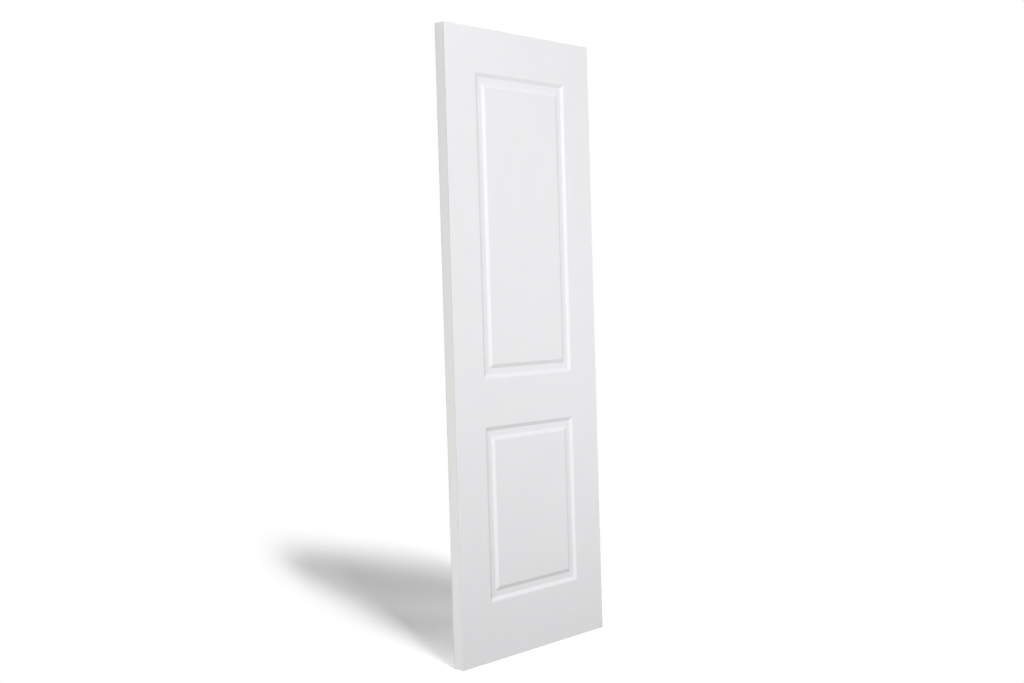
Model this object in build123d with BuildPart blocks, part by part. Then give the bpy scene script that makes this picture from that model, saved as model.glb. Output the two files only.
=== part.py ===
"""Two-panel moulded interior door leaf: two pressed skins glued over a softwood frame and a paper cell core.

Millimetres. The origin lies on the hinge edge, at the bottom and halfway through the thickness.
+X runs from the hinge edge to the lock edge, +Y to the back face and +Z up.
"""

import math
import os

from build123d import *

# leaf
door_width = 726.0
door_height = 2040.0
door_thickness = 40.0
arris_radius = 1.0

# pressed fibreboard skins
skin_thickness = 3.0

# softwood frame between the skins
stile_width = 33.0
top_rail_height = 33.0
bottom_rail_height = 45.0
lock_block_width = 68.0
lock_block_height = 400.0
lock_block_middle = 990.0

# layout of the two panels on the face, to the outer line of the moulding
face_stile_width = 136.5
face_top_rail_height = 141.5
face_lock_rail_height = 152.0
face_bottom_rail_height = 190.5
lower_panel_height = 570.0

# moulding round each panel, from its outer line inwards
lip_width = 2.0
slope_width = 12.5
groove_depth = 5.5
groove_width = 19.5
bevel_width = 12.5
field_depth = 0.6
bend_radius = 5.0

# paper cell core
cell_size = 90.0
cell_wall = 1.0
core_edge_gap = 5.0
core_skin_gap = 0.3

# worked out from the sizes above
frame_thickness = door_thickness - 2 * skin_thickness
rail_length = door_width - 2 * stile_width
panel_width = door_width - 2 * face_stile_width
upper_panel_bottom = face_bottom_rail_height + lower_panel_height + face_lock_rail_height
upper_panel_height = door_height - face_top_rail_height - upper_panel_bottom
groove_start = lip_width + slope_width
groove_end = groove_start + groove_width
bevel_end = groove_end + bevel_width
moulding_width = bevel_end + lip_width

# height of each panel's middle above the bottom of the leaf, and the panel's own height
panels = [
    (face_bottom_rail_height + lower_panel_height / 2, lower_panel_height),
    (upper_panel_bottom + upper_panel_height / 2, upper_panel_height),
]

# the core fills the room inside the frame with whole cells
core_room_width = rail_length - 2 * core_edge_gap
core_room_height = door_height - top_rail_height - bottom_rail_height - 2 * core_edge_gap
core_middle = (bottom_rail_height + door_height - top_rail_height) / 2
cell_corner_size = cell_size * 2 / math.sqrt(3)
cell_columns = 1 + int((core_room_width - cell_corner_size) / (0.75 * cell_corner_size))
cell_rows = int((core_room_height - cell_size / 2) / cell_size)

# sketch planes seen from the front: x is the door's X, y is the door's Z, and the normal points out of the door
front_face = Plane.XZ.offset(door_thickness / 2)
field_face = front_face.offset(-field_depth)
frame_front = Plane.XZ.offset(frame_thickness / 2)


def moulding_points(sunk):
    """Slope, flat groove and bevel in section: x runs inwards from the outer line, y is the height over the face.

    sunk lowers the whole section into the door.
    """
    return [
        (0, -sunk),
        (lip_width, -sunk),
        (groove_start, -sunk - groove_depth),
        (groove_end, -sunk - groove_depth),
        (bevel_end, -sunk - field_depth),
        (moulding_width, -sunk - field_depth),
    ]


def panel_corners(panel_middle, panel_height):
    """Points round the outer line of a panel's moulding, from halfway up its hinge side."""
    left = face_stile_width
    right = left + panel_width
    low = panel_middle - panel_height / 2
    high = panel_middle + panel_height / 2
    return [(left, panel_middle), (left, high), (right, high), (right, low), (left, low)]


def section_plane(panel_middle):
    """Level plane across the hinge side of a panel's moulding: x runs inwards and y runs out of the door."""
    return Plane(origin=(face_stile_width, -door_thickness / 2, panel_middle), x_dir=(1, 0, 0), z_dir=(0, 0, -1))


# Front skin: a flat sheet with the moulding of each panel pressed into it
with BuildPart() as front_skin:
    with BuildSketch(front_face):
        Rectangle(door_width, door_height, align=(Align.MIN, Align.MIN))
    extrude(amount=-skin_thickness)
    fillet(front_skin.faces().sort_by(Axis.Y)[0].edges(), radius=arris_radius)
    for panel_middle, panel_height in panels:
        with BuildSketch(front_face):
            with Locations((door_width / 2, panel_middle)):
                Rectangle(panel_width, panel_height)
        extrude(amount=-skin_thickness, mode=Mode.SUBTRACT)

        # the sheet's section, with the same bends on both sides, goes round the panel with mitred corners
        with BuildLine(front_face) as outer_line:
            Polyline(panel_corners(panel_middle, panel_height), close=True)
        with BuildSketch(section_plane(panel_middle)) as section:
            with BuildLine():
                FilletPolyline(*moulding_points(0), radius=bend_radius)
                FilletPolyline(*moulding_points(skin_thickness), radius=bend_radius)
                Line((0, 0), (0, -skin_thickness))
                Line((moulding_width, -field_depth), (moulding_width, -skin_thickness - field_depth))
            make_face()
        sweep(section.sketch, path=outer_line.line, transition=Transition.RIGHT)

        # flat field of the panel inside the moulding
        with BuildSketch(field_face):
            with Locations((door_width / 2, panel_middle)):
                Rectangle(panel_width - 2 * moulding_width, panel_height - 2 * moulding_width)
        extrude(amount=-skin_thickness)

# Back skin: the same pressing on the other face
with BuildPart() as back_skin:
    mirror(front_skin.part, about=Plane.XZ)

# Hinge stile: the full height of the leaf, with the hinge edge as its outer side
with BuildPart() as hinge_stile:
    with BuildSketch(frame_front):
        Rectangle(stile_width, door_height, align=(Align.MIN, Align.MIN))
    extrude(amount=-frame_thickness)

# Lock stile: the same on the opposite edge
with BuildPart() as lock_stile:
    with BuildSketch(frame_front):
        with Locations((door_width, 0)):
            Rectangle(stile_width, door_height, align=(Align.MAX, Align.MIN))
    extrude(amount=-frame_thickness)

# Top rail: between the stiles
with BuildPart() as top_rail:
    with BuildSketch(frame_front):
        with Locations((stile_width, door_height)):
            Rectangle(rail_length, top_rail_height, align=(Align.MIN, Align.MAX))
    extrude(amount=-frame_thickness)

# Bottom rail: between the stiles
with BuildPart() as bottom_rail:
    with BuildSketch(frame_front):
        with Locations((stile_width, 0)):
            Rectangle(rail_length, bottom_rail_height, align=(Align.MIN, Align.MIN))
    extrude(amount=-frame_thickness)

# Lock blocks: glued to the inner side of each stile at handle height
with BuildPart() as hinge_side_block:
    with BuildSketch(frame_front):
        with Locations((stile_width, lock_block_middle)):
            Rectangle(lock_block_width, lock_block_height, align=(Align.MIN, Align.CENTER))
    extrude(amount=-frame_thickness)

with BuildPart() as lock_side_block:
    with BuildSketch(frame_front):
        with Locations((door_width - stile_width, lock_block_middle)):
            Rectangle(lock_block_width, lock_block_height, align=(Align.MAX, Align.CENTER))
    extrude(amount=-frame_thickness)

# Room that the pressed panels of one skin take up between the two skins
with BuildPart() as pressed_room:
    for panel_middle, panel_height in panels:
        with BuildLine(front_face) as outer_line:
            Polyline(panel_corners(panel_middle, panel_height), close=True)
        with BuildSketch(section_plane(panel_middle)) as section:
            with BuildLine():
                Polyline(
                    *moulding_points(skin_thickness + core_skin_gap),
                    (moulding_width, 0),
                    (0, 0),
                    close=True,
                )
            make_face()
        sweep(section.sketch, path=outer_line.line, transition=Transition.RIGHT)
        with BuildSketch(front_face):
            with Locations((door_width / 2, panel_middle)):
                Rectangle(panel_width - 2 * moulding_width, panel_height - 2 * moulding_width)
        extrude(amount=-skin_thickness - field_depth)

# Core: a blanket of paper cells, notched round the lock blocks and crushed under the pressed panels
with BuildPart() as core:
    with BuildSketch(frame_front):
        with Locations((door_width / 2, core_middle)):
            with HexLocations(cell_size / 2, cell_columns, cell_rows):
                RegularPolygon((cell_size + cell_wall) / 2, 6, major_radius=False)
            with HexLocations(cell_size / 2, cell_columns, cell_rows):
                RegularPolygon((cell_size - cell_wall) / 2, 6, major_radius=False, mode=Mode.SUBTRACT)
        with Locations((stile_width, lock_block_middle), (door_width - stile_width, lock_block_middle)):
            Rectangle(
                2 * (lock_block_width + core_edge_gap),
                lock_block_height + 2 * core_edge_gap,
                mode=Mode.SUBTRACT,
            )
    extrude(amount=-frame_thickness)
    add(pressed_room.part, mode=Mode.SUBTRACT)
    mirror(pressed_room.part, about=Plane.XZ, mode=Mode.SUBTRACT)

front_skin.part.label = "front_skin"
back_skin.part.label = "back_skin"
hinge_stile.part.label = "hinge_stile"
lock_stile.part.label = "lock_stile"
top_rail.part.label = "top_rail"
bottom_rail.part.label = "bottom_rail"
hinge_side_block.part.label = "hinge_side_block"
lock_side_block.part.label = "lock_side_block"
core.part.label = "core"

os.makedirs("parts", exist_ok=True)
export_step(front_skin.part, "parts/front_skin.step")
export_step(back_skin.part, "parts/back_skin.step")
export_step(hinge_stile.part, "parts/hinge_stile.step")
export_step(lock_stile.part, "parts/lock_stile.step")
export_step(top_rail.part, "parts/top_rail.step")
export_step(bottom_rail.part, "parts/bottom_rail.step")
export_step(hinge_side_block.part, "parts/hinge_side_block.step")
export_step(lock_side_block.part, "parts/lock_side_block.step")
export_step(core.part, "parts/core.step")
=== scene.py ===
"""Looks of a two-panel moulded interior door leaf, primed white, standing on a white studio floor.

Metres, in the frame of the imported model: +X from the hinge edge to the lock edge, +Y to the back
face, +Z up.
"""

from __future__ import annotations

import logging
import math
from dataclasses import dataclass
from enum import Enum
from typing import Protocol

import bmesh
import bpy
from mathutils import Matrix, Vector


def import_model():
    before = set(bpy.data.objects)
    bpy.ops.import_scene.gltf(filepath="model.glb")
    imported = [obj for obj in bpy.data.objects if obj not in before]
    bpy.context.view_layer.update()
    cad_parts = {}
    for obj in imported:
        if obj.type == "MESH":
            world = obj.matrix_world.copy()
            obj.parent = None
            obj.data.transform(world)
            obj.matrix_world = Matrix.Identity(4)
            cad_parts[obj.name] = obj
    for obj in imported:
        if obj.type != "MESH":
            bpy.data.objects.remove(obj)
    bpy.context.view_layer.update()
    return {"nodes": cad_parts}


log = logging.getLogger("door_leaf")

COAT_IOR = 1.46  # dried primer, wood fibre and paper all lie near this
WAVE_REPEAT = 0.314  # metres between the rings of a wave texture at scale 1
WHITE = (1.0, 1.0, 1.0, 1.0)

# a Mix node repeats its socket names for every kind of data, so its sockets go by number
FACTOR = 0
NUMBER_A, NUMBER_B, NUMBER_OUT = 2, 3, 0
COLOUR_A, COLOUR_B, COLOUR_OUT = 6, 7, 2


def linear(hex_colour: str) -> tuple[float, float, float, float]:
    """Turn an sRGB hex colour into linear RGBA.

    Args:
        hex_colour: six hex digits, such as "F2F1ED".

    Returns:
        The colour in linear light, with an alpha of 1.
    """
    parts = [int(hex_colour[i : i + 2], 16) / 255 for i in (0, 2, 4)]
    # the sRGB curve has a straight foot and is a power above it
    light = [c / 12.92 if c <= 0.04045 else ((c + 0.055) / 1.055) ** 2.4 for c in parts]
    return (light[0], light[1], light[2], 1.0)


def add_node(
    tree: bpy.types.NodeTree,
    kind: str,
    inputs: dict[str | int, object] | None = None,
    **settings: object,
) -> bpy.types.Node:
    """Add a node, set it up and link it.

    Args:
        tree: the node tree that gets the node.
        kind: the node's type, such as "ShaderNodeTexNoise".
        inputs: socket name or index to a value, or to an output socket that is linked to it.
        settings: properties of the node itself.

    Returns:
        The new node.
    """
    node = tree.nodes.new(kind)
    for name, value in settings.items():
        setattr(node, name, value)
    for key, value in (inputs or {}).items():
        if isinstance(value, bpy.types.NodeSocket):
            tree.links.new(value, node.inputs[key])
        else:
            node.inputs[key].default_value = value
    return node


def new_material(name: str) -> tuple[bpy.types.Material, bpy.types.NodeTree]:
    """Make an empty node material.

    Args:
        name: the material's name.

    Returns:
        The material and its empty node tree.
    """
    material = bpy.data.materials.new(name)
    material.use_nodes = True
    material.node_tree.nodes.clear()
    return material, material.node_tree


def finish_material(
    tree: bpy.types.NodeTree,
    colour: bpy.types.NodeSocket,
    roughness: bpy.types.NodeSocket | float,
    height: bpy.types.NodeSocket,
    relief: float,
) -> None:
    """Close a material with the plain coated surface that all finishes of the leaf share.

    Args:
        tree: the material's node tree.
        colour: the surface colour.
        roughness: the surface roughness.
        height: the fine relief, from 0 to 1.
        relief: what a height of 1 stands for, in metres.
    """
    bump = add_node(
        tree, "ShaderNodeBump", {"Height": height, "Strength": 1.0, "Distance": relief}
    )
    shader = add_node(
        tree,
        "ShaderNodeBsdfPrincipled",
        {
            "Base Color": colour,
            "Roughness": roughness,
            "IOR": COAT_IOR,
            "Normal": bump.outputs["Normal"],
        },
    )
    add_node(tree, "ShaderNodeOutputMaterial", {"Surface": shader.outputs["BSDF"]})


def near_value(
    tree: bpy.types.NodeTree,
    value: bpy.types.NodeSocket,
    target: float,
    full: float,
    none: float,
) -> bpy.types.NodeSocket:
    """Mark the places where a value lies close to a target.

    Args:
        tree: the material's node tree.
        value: the value that is looked at.
        target: the value to lie close to.
        full: how far off still counts in full.
        none: how far off no longer counts.

    Returns:
        A mask from 0 to 1.
    """
    off = add_node(tree, "ShaderNodeMath", {0: value, 1: target}, operation="SUBTRACT")
    gap = add_node(tree, "ShaderNodeMath", {0: off.outputs[0]}, operation="ABSOLUTE")
    mask = add_node(
        tree, "ShaderNodeMapRange", {"Value": gap.outputs[0], "From Min": none, "From Max": full}
    )
    return mask.outputs["Result"]


class Join(Enum):
    """How several masks become one."""

    LARGEST = "MAXIMUM"
    PRODUCT = "MULTIPLY"


def join_masks(
    tree: bpy.types.NodeTree, how: Join, masks: list[bpy.types.NodeSocket]
) -> bpy.types.NodeSocket:
    """Join masks.

    Args:
        tree: the material's node tree.
        how: the largest counts wherever one mask does, the product only where all do.
        masks: the masks to join.

    Returns:
        The joined mask.
    """
    joined = masks[0]
    for mask in masks[1:]:
        joined = add_node(
            tree, "ShaderNodeMath", {0: joined, 1: mask}, operation=how.value
        ).outputs[0]
    return joined


def seen_directly(tree: bpy.types.NodeTree) -> bpy.types.NodeSocket:
    """Mark the rays that show the floor or the surround itself, rather than the light it gives.

    Args:
        tree: the node tree that gets the mask.

    Returns:
        1 for camera, glossy and transmission rays, 0 for the others.
    """
    ray = add_node(tree, "ShaderNodeLightPath").outputs
    shown = [ray["Is Camera Ray"], ray["Is Glossy Ray"], ray["Is Transmission Ray"]]
    return join_masks(tree, Join.LARGEST, shown)


def far_corner(piece: bpy.types.Object) -> Vector:
    """Corner of a piece's box that lies farthest along X, Y and Z."""
    return Vector([max(corner[axis] for corner in piece.bound_box) for axis in range(3)])


class Piece(Enum):
    """CAD nodes of the leaf."""

    FRONT_SKIN = "front_skin"
    BACK_SKIN = "back_skin"
    HINGE_STILE = "hinge_stile"
    LOCK_STILE = "lock_stile"
    TOP_RAIL = "top_rail"
    BOTTOM_RAIL = "bottom_rail"
    HINGE_SIDE_BLOCK = "hinge_side_block"
    LOCK_SIDE_BLOCK = "lock_side_block"
    CORE = "core"


class Grain(Enum):
    """Axis that the wood's grain runs along."""

    UPRIGHT = "Z"
    ACROSS = "X"

    def stretch(self, along: float) -> tuple[float, float, float]:
        """Scale in X, Y and Z that is one across the grain and the given share along it."""
        return (1.0, 1.0, along) if self is Grain.UPRIGHT else (along, 1.0, 1.0)


@dataclass(frozen=True)
class LeafSizes:
    """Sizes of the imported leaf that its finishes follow."""

    width: float
    height: float
    stile_width: float
    seam_depth: float  # the skins meet the wood this far from the middle of the thickness

    @classmethod
    def measure(cls, nodes: dict[str, bpy.types.Object]) -> LeafSizes:
        """Measure the leaf, whose hinge edge stands at X = 0 and its foot at Z = 0.

        Args:
            nodes: the CAD nodes by name.

        Returns:
            The leaf's sizes.
        """
        skin = far_corner(nodes[Piece.FRONT_SKIN.value])
        stile = far_corner(nodes[Piece.HINGE_STILE.value])
        return cls(width=skin.x, height=skin.z, stile_width=stile.x, seam_depth=stile.y)


@dataclass(frozen=True)
class Speckle:
    """A random pattern: the size of its grains, and how many finer layers lie over them."""

    size: float
    layers: float

    def inputs(self) -> dict[str, float]:
        """Settings of a noise texture that draws the pattern."""
        return {"Scale": 1 / self.size, "Detail": self.layers}


@dataclass(frozen=True)
class YearRings:
    """Rings of wood: their distance, and how far and how finely they waver."""

    gap: float
    waver: float
    layers: float
    layer_scale: float

    def inputs(self) -> dict[str, float]:
        """Work out the settings of a wave texture that draws the rings.

        Returns:
            The texture's socket names and values.
        """
        return {
            "Scale": WAVE_REPEAT / self.gap,
            "Distortion": self.waver,
            "Detail": self.layers,
            "Detail Scale": self.layer_scale,
        }


class Finish(Protocol):
    """What every finish of the leaf can do."""

    def material(self) -> bpy.types.Material:
        """Build the finish."""


@dataclass(frozen=True)
class PrimedBoard:
    """White primer sprayed on pressed fibreboard: an even, slightly cool satin white.

    It has a faint orange peel. The cut edge of the board round the leaf drinks the primer, so it
    is a little darker and rougher.
    """

    sizes: LeafSizes
    paint: str = "EFEEF0"
    paint_low: str = "EBEAEC"
    cut_edge: str = "E0DFDD"
    roughness: float = 0.6
    cut_roughness: float = 0.7
    cut_full: float = 0.0002  # the cut edge counts in full this close to the leaf's outline
    cut_none: float = 0.0005  # and no longer this far from it
    mottle: Speckle = Speckle(0.09, 3.0)  # the sprayed coat varies over a hand's width, 90 mm
    peel: Speckle = Speckle(0.004, 2.0)  # orange peel, 4 mm from crest to crest
    fibre: Speckle = Speckle(0.0012, 4.0)  # loose fibres of 1.2 mm, on the cut edge only
    relief: float = 0.00004  # at most 0.04 mm from trough to crest

    def material(self) -> bpy.types.Material:
        """Build the finish.

        Returns:
            The material.
        """
        material, tree = new_material("primed_fibreboard")
        place = add_node(tree, "ShaderNodeTexCoord").outputs["Object"]
        axes = add_node(tree, "ShaderNodeSeparateXYZ", {0: place}).outputs
        mottle, peel, fibre = (
            add_node(tree, "ShaderNodeTexNoise", {"Vector": place, **speckle.inputs()}).outputs[0]
            for speckle in (self.mottle, self.peel, self.fibre)
        )
        face = add_node(
            tree,
            "ShaderNodeMix",
            {
                FACTOR: mottle,
                COLOUR_A: linear(self.paint_low),
                COLOUR_B: linear(self.paint),
            },
            data_type="RGBA",
        ).outputs[COLOUR_OUT]
        outline = (
            (axes["X"], 0.0),
            (axes["X"], self.sizes.width),
            (axes["Z"], 0.0),
            (axes["Z"], self.sizes.height),
        )
        cut = join_masks(
            tree,
            Join.LARGEST,
            [near_value(tree, axis, at, self.cut_full, self.cut_none) for axis, at in outline],
        )
        worn = add_node(
            tree,
            "ShaderNodeMix",
            {FACTOR: fibre, COLOUR_A: linear(self.cut_edge), COLOUR_B: face},
            data_type="RGBA",
        ).outputs[COLOUR_OUT]
        colour = add_node(
            tree,
            "ShaderNodeMix",
            {FACTOR: cut, COLOUR_A: face, COLOUR_B: worn},
            data_type="RGBA",
        ).outputs[COLOUR_OUT]
        rough = add_node(
            tree,
            "ShaderNodeMapRange",
            {"Value": cut, "To Min": self.roughness, "To Max": self.cut_roughness},
        ).outputs["Result"]
        height = add_node(
            tree,
            "ShaderNodeMix",
            {FACTOR: cut, NUMBER_A: peel, NUMBER_B: fibre},
            data_type="FLOAT",
        ).outputs[NUMBER_OUT]
        finish_material(tree, colour, rough, height, self.relief)
        return material


@dataclass(frozen=True)
class PrimedSoftwood:
    """White primer on planed softwood.

    The year rings show through faintly, as long lines and as arcs on the ends. A thin darker line
    follows the glued seam with the skins and the butt joints of the stiles and rails.
    """

    sizes: LeafSizes
    name: str
    grain: Grain
    paint: str = "F6F5F4"
    paint_low: str = "EFEEEC"
    seam: str = "D6D3CF"
    roughness: float = 0.6
    # where the leaf's origin lies from the heart of the log, which the rings run round
    from_heart: tuple[float, float, float] = (0.03, -0.06, 0.02)
    along_grain: float = 0.02  # draws the patterns out fifty times
    rings: YearRings = YearRings(gap=0.003, waver=2.5, layers=3.0, layer_scale=0.6)  # 3 mm apart
    pores: Speckle = Speckle(0.0015, 4.0)  # open pores, 1.5 mm wide, break up the rings
    pore_share: float = 0.5  # the rest is rings
    seam_half: float = 0.00025  # half of a line 0.5 mm wide
    relief: float = 0.00006  # at most 0.06 mm from trough to crest

    def material(self) -> bpy.types.Material:
        """Build the finish.

        Returns:
            The material.
        """
        material, tree = new_material(self.name)
        place = add_node(tree, "ShaderNodeTexCoord").outputs["Object"]
        axes = add_node(tree, "ShaderNodeSeparateXYZ", {0: place}).outputs
        drawn = add_node(
            tree,
            "ShaderNodeMapping",
            {
                "Vector": place,
                "Location": self.from_heart,
                "Scale": self.grain.stretch(self.along_grain),
            },
        ).outputs["Vector"]
        rings = add_node(
            tree,
            "ShaderNodeTexWave",
            {"Vector": drawn, **self.rings.inputs()},
            wave_type="RINGS",
            rings_direction=self.grain.value,
        ).outputs["Fac"]
        pores = add_node(
            tree, "ShaderNodeTexNoise", {"Vector": drawn, **self.pores.inputs()}
        ).outputs[0]
        lines = add_node(
            tree,
            "ShaderNodeMix",
            {FACTOR: self.pore_share, NUMBER_A: rings, NUMBER_B: pores},
            data_type="FLOAT",
        ).outputs[NUMBER_OUT]
        wood = add_node(
            tree,
            "ShaderNodeMix",
            {
                FACTOR: lines,
                COLOUR_A: linear(self.paint_low),
                COLOUR_B: linear(self.paint),
            },
            data_type="RGBA",
        ).outputs[COLOUR_OUT]
        depth = add_node(tree, "ShaderNodeMath", {0: axes["Y"]}, operation="ABSOLUTE").outputs[0]
        joints = (
            (depth, self.sizes.seam_depth),
            (axes["X"], self.sizes.stile_width),
            (axes["X"], self.sizes.width - self.sizes.stile_width),
        )
        seam = join_masks(
            tree,
            Join.LARGEST,
            [
                near_value(tree, value, at, self.seam_half, 2 * self.seam_half)
                for value, at in joints
            ],
        )
        colour = add_node(
            tree,
            "ShaderNodeMix",
            {FACTOR: seam, COLOUR_A: wood, COLOUR_B: linear(self.seam)},
            data_type="RGBA",
        ).outputs[COLOUR_OUT]
        finish_material(tree, colour, self.roughness, lines, self.relief)
        return material


@dataclass(frozen=True)
class BareSoftwood:
    """Sawn softwood without a coat: straw-coloured with darker year rings, rough and dry."""

    early: str = "D8B684"
    late: str = "B4854F"
    roughness: float = 0.8
    along_grain: float = 0.03  # draws the rings out about thirty times
    # the rings are drawn as slanting bands, which lie 1.4 times the gap apart, so 7 mm
    rings: YearRings = YearRings(gap=0.005, waver=3.0, layers=3.0, layer_scale=1.5)
    saw_marks: Speckle = Speckle(1 / 900, 3.0)  # about 1.1 mm wide
    relief: float = 0.0002  # at most 0.2 mm from trough to crest

    def material(self) -> bpy.types.Material:
        """Build the finish.

        Returns:
            The material.
        """
        material, tree = new_material("bare_softwood")
        place = add_node(tree, "ShaderNodeTexCoord").outputs["Object"]
        drawn = add_node(
            tree,
            "ShaderNodeMapping",
            {"Vector": place, "Scale": Grain.UPRIGHT.stretch(self.along_grain)},
        ).outputs["Vector"]
        rings = add_node(
            tree,
            "ShaderNodeTexWave",
            {"Vector": drawn, **self.rings.inputs()},
            wave_type="BANDS",
            bands_direction="DIAGONAL",
        ).outputs["Fac"]
        saw_marks = add_node(
            tree, "ShaderNodeTexNoise", {"Vector": place, **self.saw_marks.inputs()}
        ).outputs[0]
        colour = add_node(
            tree,
            "ShaderNodeMix",
            {FACTOR: rings, COLOUR_A: linear(self.late), COLOUR_B: linear(self.early)},
            data_type="RGBA",
        ).outputs[COLOUR_OUT]
        finish_material(tree, colour, self.roughness, saw_marks, self.relief)
        return material


@dataclass(frozen=True)
class KraftPaper:
    """Brown kraft paper of the cells: matt, with cloudy pulp and short fibres."""

    light: str = "BB9A6C"
    dark: str = "9B7A4F"
    roughness: float = 0.9
    clouds: Speckle = Speckle(0.006, 6.0)  # pulp clouds, 6 mm wide
    relief: float = 0.00008  # at most 0.08 mm from trough to crest

    def material(self) -> bpy.types.Material:
        """Build the finish.

        Returns:
            The material.
        """
        material, tree = new_material("kraft_paper")
        place = add_node(tree, "ShaderNodeTexCoord").outputs["Object"]
        clouds = add_node(
            tree, "ShaderNodeTexNoise", {"Vector": place, **self.clouds.inputs()}
        ).outputs[0]
        colour = add_node(
            tree,
            "ShaderNodeMix",
            {FACTOR: clouds, COLOUR_A: linear(self.dark), COLOUR_B: linear(self.light)},
            data_type="RGBA",
        ).outputs[COLOUR_OUT]
        finish_material(tree, colour, self.roughness, clouds, self.relief)
        return material


@dataclass(frozen=True)
class DoorLeaf:
    """The leaf's CAD pieces, their sizes and their finishes."""

    nodes: dict[str, bpy.types.Object]
    sizes: LeafSizes

    def dress(self) -> None:
        """Give every piece its finish."""
        stile = PrimedSoftwood(self.sizes, "primed_softwood_stile", Grain.UPRIGHT)
        rail = PrimedSoftwood(self.sizes, "primed_softwood_rail", Grain.ACROSS)
        finishes: dict[Finish, tuple[Piece, ...]] = {
            PrimedBoard(self.sizes): (Piece.FRONT_SKIN, Piece.BACK_SKIN),
            stile: (Piece.HINGE_STILE, Piece.LOCK_STILE),
            rail: (Piece.TOP_RAIL, Piece.BOTTOM_RAIL),
            BareSoftwood(): (Piece.HINGE_SIDE_BLOCK, Piece.LOCK_SIDE_BLOCK),
            KraftPaper(): (Piece.CORE,),
        }
        for finish, pieces in finishes.items():
            material = finish.material()
            for piece in pieces:
                for slot in self.nodes[piece.value].material_slots:
                    slot.material = material
                log.info("dressed %s with %s", piece.value, material.name)


@dataclass(frozen=True)
class Softbox:
    """A rectangular studio lamp that points at one spot."""

    name: str
    place: tuple[float, float, float]
    aim: tuple[float, float, float]
    size: tuple[float, float]
    watts: float

    def build(self) -> None:
        """Put the lamp into the scene, out of the camera's sight."""
        lamp = bpy.data.lights.new(self.name, "AREA")
        lamp.shape = "RECTANGLE"
        lamp.size, lamp.size_y = self.size
        lamp.energy = self.watts
        thing = bpy.data.objects.new(self.name, lamp)
        bpy.context.scene.collection.objects.link(thing)
        direction = Vector(self.aim) - Vector(self.place)
        turn = direction.to_track_quat("-Z", "Y").to_matrix().to_4x4()
        thing.matrix_world = Matrix.Translation(self.place) @ turn
        thing.visible_camera = False
        log.info("lamp %s", self.name)


@dataclass(frozen=True)
class PaintedLightBand:
    """A band across the floor in which painted white light covers the floor's shade, so the band's
    soft edge draws the outline of the leaf's cast shadow.

    The band's start and end are distances along its way, from the foot of the hinge edge.
    """

    way: tuple[float, float, float]  # of length 1
    start: float
    end: float


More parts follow.
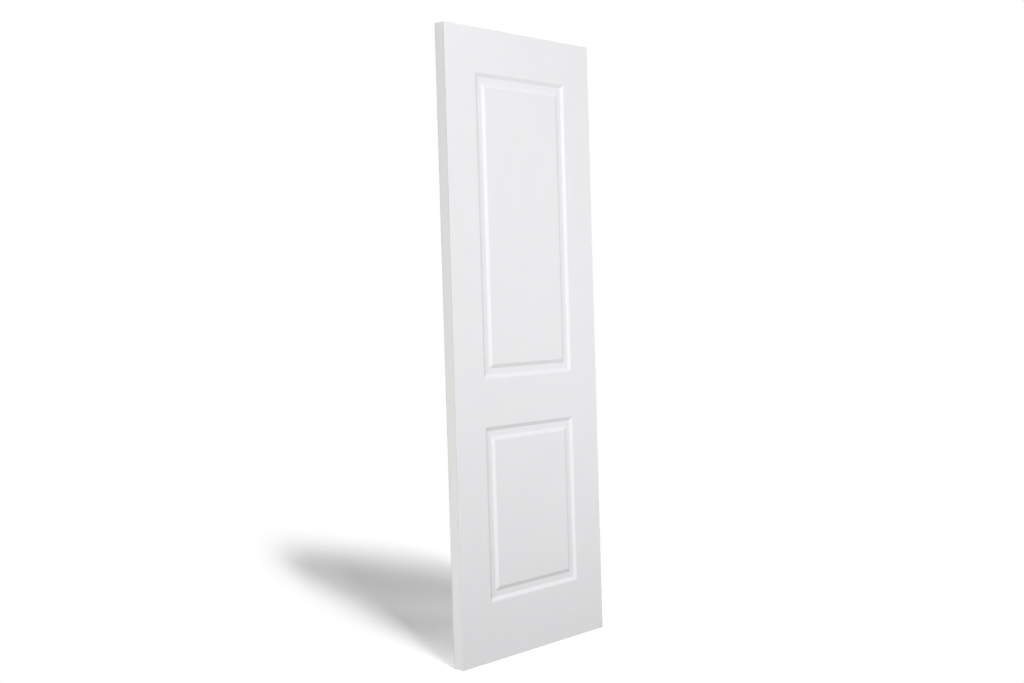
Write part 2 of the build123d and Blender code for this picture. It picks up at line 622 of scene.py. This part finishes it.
@dataclass(frozen=True)
class Studio:
    """White floor, white surround and soft lamps."""

    floor_half: float = 40.0  # half a side, far past what the camera sees
    surround: float = 0.11  # strength of the even light from all sides
    floor_tone: float = 0.18  # share of the light that the floor throws back on the leaf
    floor_seen: float = 1.55  # the floor's tone to the camera, white where the lamps reach it
    lamps: tuple[Softbox, ...] = (
        Softbox("key_softbox", (-1.52, -3.3, 4.92), (0.36, 0.0, 1.2), (1.0, 1.0), 174.0),
        Softbox("fill_softbox", (1.65, -2.5, 0.85), (0.36, 0.0, 1.2), (1.0, 1.0), 31.8),
        Softbox("side_softbox", (-3.65, -1.0, 0.5), (0.0, 0.0, 0.8), (1.2, 0.8), 75.5),
        Softbox("foot_softbox", (-0.9, 0.12, 0.12), (0.0, 0.0, 0.12), (0.3, 0.2), 0.45),
        Softbox("back_softbox", (5.5, 7.5, 0.8), (0.36, 0.0, 1.0), (2.4, 1.2), 620.0),
    )
    # painted light: in these bands a white glow is painted over the floor's shade, cutting the
    # leaf's cast shadow to shape and painting out the shade in front of the leaf
    painted_light_bands: tuple[PaintedLightBand, ...] = (
        PaintedLightBand((1.0, 0.0, 0.0), 0.85, 1.7),  # past the shadow's far side
        PaintedLightBand((-0.769, 0.639, 0.0), 0.4, 0.69),  # past its tip
        PaintedLightBand((-0.908, 0.418, 0.0), -0.11, 0.155),  # left of the key light's way
        PaintedLightBand((0.908, -0.418, 0.0), 0.62, 0.8),  # right of it
        PaintedLightBand((0.0, -1.0, 0.0), -0.02, 0.03),  # in front of the leaf, where it paints out the shade
    )

    def build(self) -> None:
        """Light the scene and lay the floor."""
        for lamp in self.lamps:
            lamp.build()
        self.light_surround()
        self.lay_floor()

    def light_surround(self) -> None:
        """Surround the leaf with white for the camera and with a plain even light."""
        world = bpy.data.worlds.new("white_surround")
        bpy.context.scene.world = world
        world.use_nodes = True
        tree = world.node_tree
        tree.nodes.clear()
        strength = add_node(
            tree,
            "ShaderNodeMapRange",
            {"Value": seen_directly(tree), "To Min": self.surround, "To Max": 1.0},
        ).outputs["Result"]
        sky = add_node(tree, "ShaderNodeBackground", {"Color": WHITE, "Strength": strength})
        add_node(tree, "ShaderNodeOutputWorld", {"Surface": sky.outputs["Background"]})

    def lay_floor(self) -> None:
        """Lay the floor."""
        mesh = bpy.data.meshes.new("studio_floor")
        shape = bmesh.new()
        bmesh.ops.create_grid(shape, x_segments=1, y_segments=1, size=self.floor_half)
        shape.to_mesh(mesh)
        shape.free()
        floor = bpy.data.objects.new("studio_floor", mesh)
        bpy.context.scene.collection.objects.link(floor)
        mesh.materials.append(self.floor_material())
        log.info("floor laid")

    def floor_material(self) -> bpy.types.Material:
        """White painted floor that holds the leaf's shadow. Outside bands that trim the cast
        shadow's outline, a painted white glow covers the floor's shade, and it runs out into the
        white surround.

        Returns:
            The material.
        """
        material, tree = new_material("white_studio_floor")
        place = add_node(tree, "ShaderNodeTexCoord").outputs["Object"]
        kept: list[bpy.types.NodeSocket] = []
        for painted_light_band in self.painted_light_bands:
            along = add_node(
                tree, "ShaderNodeVectorMath", {0: place, 1: painted_light_band.way}, operation="DOT_PRODUCT"
            ).outputs["Value"]
            band = {"From Min": painted_light_band.start, "From Max": painted_light_band.end, "To Min": 1.0, "To Max": 0.0}
            inside = add_node(
                tree,
                "ShaderNodeMapRange",
                {"Value": along, **band},
                interpolation_type="SMOOTHSTEP",
            )
            kept.append(inside.outputs["Result"])
        # share of the floor that keeps its real light and shade; the rest is painted white light
        # over the shade
        floor_share = join_masks(tree, Join.PRODUCT, kept)
        white = add_node(
            tree, "ShaderNodeMath", {0: 1.0, 1: floor_share}, operation="SUBTRACT"
        ).outputs[0]
        seen = seen_directly(tree)
        painted_light_share = join_masks(tree, Join.PRODUCT, [seen, white])
        tone = add_node(
            tree,
            "ShaderNodeMapRange",
            {"Value": seen, "To Min": self.floor_tone, "To Max": self.floor_seen},
        ).outputs["Result"]
        paint = add_node(tree, "ShaderNodeBsdfDiffuse", {"Color": tone})
        # painted white light, shown to the camera over the floor's shade outside the bands
        painted_white_light = add_node(tree, "ShaderNodeEmission", {"Color": WHITE, "Strength": 1.0})
        mix = add_node(
            tree,
            "ShaderNodeMixShader",
            {0: painted_light_share, 1: paint.outputs["BSDF"], 2: painted_white_light.outputs["Emission"]},
        )
        add_node(tree, "ShaderNodeOutputMaterial", {"Surface": mix.outputs["Shader"]})
        return material


@dataclass(frozen=True)
class PhotoCamera:
    """Camera at the photograph's viewing angle."""

    eye: tuple[float, float, float] = (-3.2814, -3.0960, 1.1703)
    forward: tuple[float, float, float] = (0.75652, 0.65329, -0.02985)
    roll_degrees: float = -1.681
    lens: float = 50.413  # in millimetres, as the sensor's width is
    sensor_width: float = 36.0

    def build(self) -> None:
        """Put the camera into the scene and make it the active one."""
        camera = bpy.data.cameras.new("photo_camera")
        camera.lens = self.lens
        camera.sensor_width = self.sensor_width
        camera.sensor_fit = "HORIZONTAL"
        thing = bpy.data.objects.new("photo_camera", camera)
        bpy.context.scene.collection.objects.link(thing)
        ahead = Vector(self.forward).normalized()
        right = ahead.cross(Vector((0, 0, 1))).normalized()
        upright = right.cross(ahead)
        roll = math.radians(self.roll_degrees)
        side = right * math.cos(roll) + upright * math.sin(roll)
        above = side.cross(ahead)
        turn = Matrix((side, above, -ahead)).transposed().to_4x4()
        thing.matrix_world = Matrix.Translation(self.eye) @ turn
        bpy.context.scene.camera = thing
        log.info("camera placed")


def main() -> None:
    """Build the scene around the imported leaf."""
    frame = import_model()
    bpy.context.scene.view_settings.view_transform = "Standard"
    DoorLeaf(frame["nodes"], LeafSizes.measure(frame["nodes"])).dress()
    Studio().build()
    PhotoCamera().build()


if __name__ == "__main__":
    logging.basicConfig(level=logging.INFO, format="%(name)s: %(message)s")
    main()
